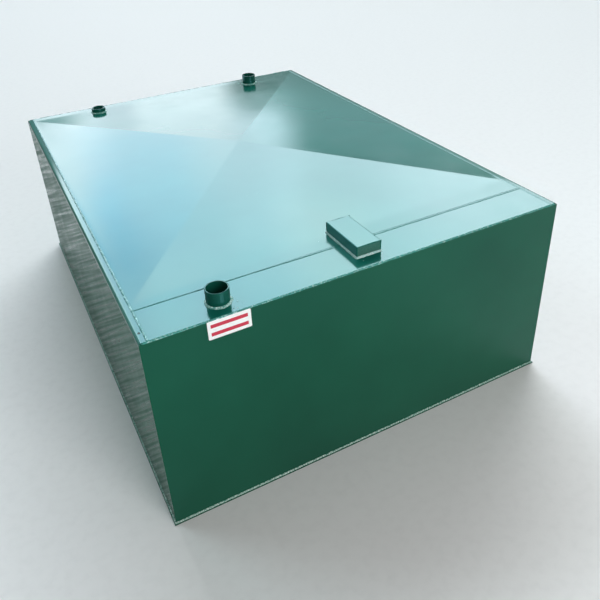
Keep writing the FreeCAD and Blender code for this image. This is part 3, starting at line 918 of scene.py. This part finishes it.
def make_spatter():
    """Weld spatter: low domes of 1 to 2 mm strewn on the top round each fitting. A dome has six sides and
    five rings, r (cos a cos b, sin a cos b, 0.7 sin b), seated on top_height."""
    rng = np.random.default_rng(91)
    centres = []
    for centre, inner, outer, count in SPATTER:
        turn = rng.uniform(0, TURN, count)
        away = rng.uniform(inner, outer, count)
        centres.append(np.array(centre) + away[:, None] * np.column_stack([np.cos(turn), np.sin(turn)]))
    centres = np.concatenate(centres)
    centres = centres[centres[:, 1] > -WALL_Y + 6]
    radius = rng.uniform(*DROP_RADIUS, len(centres))
    around = np.arange(DROP_SIDES) * TURN / DROP_SIDES
    up = DROP_RINGS[:, None]
    rings = len(DROP_RINGS)
    rise = np.broadcast_to(0.7 * np.sin(up), (rings, DROP_SIDES))
    shape = np.stack([np.cos(around) * np.cos(up), np.sin(around) * np.cos(up), rise], axis=-1)
    seats = np.column_stack([centres, top_height(centres[:, 0], centres[:, 1])])
    points = seats[:, None, None, :] + radius[:, None, None, None] * shape
    first = np.arange(len(centres)) * rings * DROP_SIDES
    skin = grid_faces(rings, DROP_SIDES, columns_close=True)[None] + first[:, None, None]
    loop = first[:, None] + np.arange(DROP_SIDES)
    caps = np.concatenate([loop, loop + (rings - 1) * DROP_SIDES])
    faces = skin.reshape(-1, 4).tolist() + caps.tolist()
    make_piece("weld_spatter", points, faces, weld_enamel_with_painted_highlights)


def make_pit():
    """A pit in the left flange's paint, near its front end: a low dimple with a raised lip, painted dark
    for the shade in the hole.
    """
    profile = [(0.1, -0.8), (3.6, -0.8), (3.3, 0.25), (2.8, 0.4), (2.3, 0.16), (0.1, 0.12)]
    seat = TOP - np.tan(np.radians(NEAR_DROOP)) * (-PIT[0] - FLANGE_INNER)
    turned_fitting("flange_pit", None, PIT, seat, profile, pit_painted_shade)


# Label.
LABEL_X = (-466.0, -356.0)
LABEL_Z = (551.0, 603.0)
LABEL_THICKNESS = 0.4
BAR_X = (-458.0, -364.0)
BAR_FEET = (583.0, 560.0)
BAR_HEIGHT = 10.0
BAR_BACK = 0.3
BAR_THICKNESS = 0.2
PLATE_RINGS = np.array([0.0, 0.5, 0.97, 0.995, 1.0, 1.0, 0.5, 0.0])
PLATE_FRONTS = np.array([1.0, 1.0, 1.0, 0.9, 0.6, 0.0, 0.0, 0.0])


def make_plate(name, x_range, z_range, corner, back_y, thickness, material):
    """A thin plate on the front panel: a rounded outline shrunk towards its middle in rings, whose share
    of the outline and of the thickness the two arrays give, so the rim is eased and the back closed."""
    loop, _ = round_loop(*x_range, *z_range, corner, 3.0)
    middle = np.array([sum(x_range), sum(z_range)]) / 2
    xz = middle + (loop - middle) * PLATE_RINGS[:, None, None]
    y = np.broadcast_to(-(back_y + PLATE_FRONTS * thickness)[:, None], xz.shape[:2])
    points = np.stack([xz[..., 0], y, xz[..., 1]], axis=-1)
    faces = grid_faces(*y.shape, columns_close=True)
    return make_piece(name, points, faces, material, smooth=False, merge=0.001)


def make_label():
    """The label: a white vinyl plate with two plain red bars in place of its lines of print."""
    make_plate("label_plate", LABEL_X, LABEL_Z, 3.0, WALL_Y, LABEL_THICKNESS, vinyl)
    for number, foot in enumerate(BAR_FEET):
        bar_z = (foot, foot + BAR_HEIGHT)
        make_plate(f"label_bar_{number + 1}", BAR_X, bar_z, 1.0, WALL_Y + BAR_BACK, BAR_THICKNESS, ink)


# Build the pieces.
thicken(make_top_sheet(), SHEET)
panel = make_side_panel(-1, "bund_left_panel", NEAR_DROOP, FAR_DROOP, LEFT_DROOP_CHANGE, left_enamel)
paint_flange(thicken(panel, SHEET))
panel = make_side_panel(1, "bund_right_panel", 0.0, RIGHT_DROOP, RIGHT_DROOP_CHANGE, right_enamel)
paint_flange(thicken(panel, SHEET))
make_base_weld()
make_top_edge_weld(-1, "weld_top_front")
make_top_edge_weld(1, "weld_top_back")
make_side_seam(-1, "weld_left_seam", 0.9, 0.26, seam_enamel_with_painted_highlights)
make_side_seam(1, "weld_right_seam", 0.4, 0.12, top_enamel_painted_lighter)
make_cross_seam()
make_ring_weld("weld_bund_vent", BUND_VENT, PIPE_RADIUS, 61)
make_ring_weld("weld_tank_vent", TANK_VENT, PIPE_RADIUS, 62)
make_ring_weld("weld_fill_socket", FILL, SOCKET_RADIUS, 63)
make_box_weld()
make_end_joint("overflow_front_joint", BOX_Y[0], -1)
make_end_joint("overflow_back_joint", BOX_Y[1], 1)
make_nipple("bund_vent_nipple", BUND_VENT)
make_nipple("tank_vent_nipple", TANK_VENT)
make_fill_socket()
make_spatter()
make_pit()
make_label()

# The nodes that keep their own mesh, by paint.
PAINTS = (
    (("bund_base", "bund_front_panel", "bund_back_panel"), front_enamel),
    (("bund_cover_strip",), top_enamel_painted_lighter),
    (("overflow_channel",), box_enamel_painted_lighter),
    (("overflow_front_end", "overflow_back_end"), end_enamel_dust_and_painted_light),
    (("tank_base", "tank_front_wall", "tank_back_wall", "tank_left_wall", "tank_right_wall"), primer),
    (("bearer_1", "bearer_2", "bearer_3"), primer),
)
for names, material in PAINTS:
    for name in names:
        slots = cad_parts[name].data.materials
        slots.clear()
        slots.append(material)


# Floor, light and camera.
def make_floor():
    """A plain pale floor, level with the underside of the base."""
    half = 40.0
    corners = [(-half, -half, 0), (half, -half, 0), (half, half, 0), (-half, half, 0)]
    mesh = bpy.data.meshes.new("floor")
    mesh.from_pydata(corners, [], [(0, 1, 2, 3)])
    floor = bpy.data.objects.new("floor", mesh)
    bpy.context.scene.collection.objects.link(floor)
    floor.location.z = -0.5 * MM
    mesh.materials.append(flat_coat("pale_floor_paint", "#f4f3f2", "#f0efee", rough=0.7, grain=30.0))


# Edges of the window and the room round it, as make_world's docstring says, in degrees.
SKY_FILL = (0.22, 0.22, 0.22)
LEFT_EDGE = (1, 1.2, 22, 27)
LEFT_LIMIT = (1, 0, -7, -1)
LEFT_END = (1, 0, 9, 6)
LEFT_TOP = (0, 1, 50, 44)
MIDDLE_START = (1, 0, 6, 9)
MIDDLE_END = (1, 0, 21.6, 18.4)
CENTRE_START = (1, 0, 18.4, 21.6)
CENTRE_END = (1, 0, 29.5, 25.5)
RIGHT_START = (1, 0, 25.5, 29.5)
CEILING = (0.22, 1, 52, 46)
RIGHT_CEILING = (0.22, 1, 58, 50)
BELOW_SILL = (0, 1, 22.7, 19.7)
FAR_RIGHT_END = (1, 0, 75, 60)
SKY_PARTS = (
    # The window's left part: its glow, a bluer band above, brighter towards the top and the left, and
    # dimmer high up towards the middle.
    ((LEFT_LIMIT, LEFT_EDGE, LEFT_END, (0, 1, 12.5, 19), LEFT_TOP), (4.7, 5.0, 5.3)),
    ((LEFT_LIMIT, LEFT_EDGE, LEFT_END, (0, 1, 22, 27), LEFT_TOP), (-0.8, 0.2, 0.9)),
    ((LEFT_LIMIT, LEFT_EDGE, LEFT_END, (0, 1, 29, 38), LEFT_TOP), (2.6, 2.5, 2.1)),
    ((LEFT_LIMIT, LEFT_EDGE, (1, 0, 5, 2), (0, 1, 22, 27), LEFT_TOP), (2.6, 2.1, 1.3)),
    ((LEFT_LIMIT, (1, 0, 12, 8), (0, 1, 26, 33), LEFT_TOP), (-0.9, -1.4, -1.1)),
    # Its middle part, which reaches lowest, with a paler top, a dimmer lower left corner, and a dimmer
    # patch on the right of its middle.
    (((1, 0, 2, 4), (1, 0, 10, 7), (0, 1, 8, 11), (0, 1, 18, 15)), (0.5, 0.6, 0.6)),
    ((MIDDLE_START, MIDDLE_END, (0, 1, 10.5, 13), CEILING), (3.45, 3.65, 3.85)),
    (((1, 0, 7, 9.5), (1, 0, 13, 11), (0, 1, 18, 15)), (-0.9, -0.9, -0.85)),
    ((MIDDLE_START, MIDDLE_END, (0, 1, 16, 34), CEILING), (1.9, 2.75, 3.2)),
    ((MIDDLE_START, MIDDLE_END, (0, 1, 32, 38), CEILING), (2.2, 1.3, 1.1)),
    (((1, 0, 4, 7), (1, 0, 18, 12), (0, 1, 18, 22), (0, 1, 36, 30)), (-0.9, -0.4, 0.0)),
    (((1, 1, 43, 47), (1, 0, 27, 22), (0, 1, 34, 31)), (-0.5, -0.6, -0.55)),
    # The part right of the middle, on a higher sill.
    ((CENTRE_START, CENTRE_END, (-0.4, 1, 5.5, 8.0), CEILING), (3.1, 3.5, 3.8)),
    ((CENTRE_START, CENTRE_END, (0, 1, 18, 36), CEILING), (3.5, 4.0, 4.2)),
    (((1, 0, 23, 27), (1, 0, 37, 31), (0, 1, 29, 32), (0, 1, 38, 35)), (1.1, 0.7, 0.4)),
    # The right part, on the highest sill.
    ((RIGHT_START, (1, 0, 75, 52), (0, 1, 22.4, 25), RIGHT_CEILING), (4.5, 5.1, 5.4)),
    ((RIGHT_START, (1, 0, 62, 48), (0, 1, 27, 38), RIGHT_CEILING), (3.1, 3.2, 3.1)),
    (((1, 0, 31, 43), (1, 0, 62, 54), (0, 1, 22.5, 26.5), (0.22, 1, 50, 42)), (1.8, 1.6, 1.5)),
    # A greenish wall below the right sill, lighter towards its far end.
    (((1, 0, 20, 27), (0, 1, 11, 17.5), BELOW_SILL, FAR_RIGHT_END), (0.55, 0.95, 1.0)),
    (((1, 0, 37, 46), (0, 1, 16, 22), BELOW_SILL, FAR_RIGHT_END), (0.6, 0.5, 0.4)),
    # The room's left side, darker than the rest.
    (((1, 0, -165, -150), (1, 0, -14, -24), (0, 1, 50, 35)), (-0.2, -0.2, -0.2)),
    # The pale distance beyond the floor's edge.
    (((0, 1, 9, 3),), (0.5, 0.5, 0.5)),
    # The lighter ceiling, and a green wall low down beside the window.
    (((0, 1, 48, 60),), (0.12, 0.12, 0.12)),
    (((1, 0, -14, -6), (1, 1.2, 27, 22), (0, 1, 8, 12), (0, 1, 30, 24)), (0.0, 0.25, 0.3)),
    # A soft glow well left of the window.
    (((1, 0, -60, -45), (1, 0, -18, -28), (0, 1, 18, 26), (0, 1, 48, 40)), (2.8, 3.9, 4.1)),
)


def make_world():
    """Studio surroundings by direction: an even soft fill plus SKY_PARTS, which make one wide soft window
    behind the tank with a stepped lower edge, for the gloss paint of the top to show. Each part is a
    colour times the product of its edges. An edge (a, b, off, on) rises smoothly from 0 to 1 as
    a * azimuth + b * elevation goes from off to on. Azimuth 0 lies along +Y and grows towards +X."""
    world = bpy.data.worlds.new("studio")
    world.use_nodes = True
    bpy.context.scene.world = world
    tree = world.node_tree
    tree.nodes.clear()
    output = add(tree, "ShaderNodeOutputWorld")
    way = add(tree, "ShaderNodeTexCoord").outputs["Generated"]
    axes = add(tree, "ShaderNodeSeparateXYZ", {0: way}).outputs
    azimuth = add(tree, "ShaderNodeMath", {0: axes["X"], 1: axes["Y"]}, operation="ARCTAN2").outputs[0]
    elevation = add(tree, "ShaderNodeMath", {0: axes["Z"]}, operation="ARCSINE").outputs[0]
    angles = add(tree, "ShaderNodeCombineXYZ", {"X": azimuth, "Y": elevation}).outputs["Vector"]
    measures = {(1, 0): azimuth, (0, 1): elevation}
    shares = {}
    total = SKY_FILL
    for edges, colour in SKY_PARTS:
        for across, upward, off, on in edges:
            if (across, upward) not in measures:
                slope = (across, upward, 0.0)
                measures[across, upward] = add(
                    tree, "ShaderNodeVectorMath", {0: angles, 1: slope}, operation="DOT_PRODUCT",
                ).outputs["Value"]
            if (across, upward, off, on) not in shares:
                measure = measures[across, upward]
                shares[across, upward, off, on] = add(
                    tree, "ShaderNodeMapRange",
                    {"Value": measure, "From Min": degrees(off), "From Max": degrees(on)},
                    interpolation_type="SMOOTHSTEP",
                ).outputs["Result"]
        share = shares[edges[0]]
        for edge in edges[1:]:
            product = add(tree, "ShaderNodeMath", {0: share, 1: shares[edge]}, operation="MULTIPLY")
            share = product.outputs[0]
        total = add(
            tree, "ShaderNodeVectorMath", {0: share, 1: colour, 2: total}, operation="MULTIPLY_ADD",
        ).outputs["Vector"]
    surroundings = add(tree, "ShaderNodeBackground", {"Color": total, "Strength": 1.0})
    tree.links.new(surroundings.outputs[0], output.inputs["Surface"])


def make_lamp(name, place, aim, size, watts):
    """A square soft lamp at place, turned to aim."""
    lamp = bpy.data.lights.new(name, "AREA")
    lamp.size = size
    lamp.energy = watts
    holder = bpy.data.objects.new(name, lamp)
    holder.location = place
    holder.rotation_euler = (Vector(aim) - Vector(place)).to_track_quat("-Z", "Y").to_euler()
    bpy.context.scene.collection.objects.link(holder)


# The camera of the photograph, solved from the tank's own edges: angles in radians, place in metres.
CAMERA_PLACE = (-0.7971, -2.0265, 1.5166)
CAMERA_HEADING = -0.45856
CAMERA_TILT = 0.52112
CAMERA_ROLL = -0.05193
CAMERA_LENS = 39.345
CAMERA_SHIFT_Y = -0.1117


def make_camera():
    """The camera: it looks along heading and tilt, and roll turns its level and rise directions."""
    level_back = np.array([np.sin(CAMERA_HEADING), -np.cos(CAMERA_HEADING), 0.0]) * np.cos(CAMERA_TILT)
    back = level_back + np.array([0.0, 0.0, np.sin(CAMERA_TILT)])
    level = np.cross(-back, (0.0, 0.0, 1.0))
    level = level / np.linalg.norm(level)
    rise = np.cross(level, -back)
    right = np.cos(CAMERA_ROLL) * level + np.sin(CAMERA_ROLL) * rise
    up = -np.sin(CAMERA_ROLL) * level + np.cos(CAMERA_ROLL) * rise
    lens = bpy.data.cameras.new("camera")
    lens.sensor_width = 36.0
    lens.lens = CAMERA_LENS
    lens.shift_y = CAMERA_SHIFT_Y
    lens.clip_end = 200.0
    camera = bpy.data.objects.new("camera", lens)
    frame_axes = Matrix.Identity(4)
    for column, axis in enumerate((right, up, back)):
        for row in range(3):
            frame_axes[row][column] = axis[row]
    frame_axes.translation = CAMERA_PLACE
    camera.matrix_world = frame_axes
    bpy.context.scene.collection.objects.link(camera)
    bpy.context.scene.camera = camera


make_floor()
make_world()
make_lamp("key", place=(1.0, -6.0, 2.6), aim=(0.0, -0.5, 0.3), size=3.0, watts=168.0)
make_camera()
bpy.context.scene.view_settings.view_transform = "Standard"

bpy.context.view_layer.update()
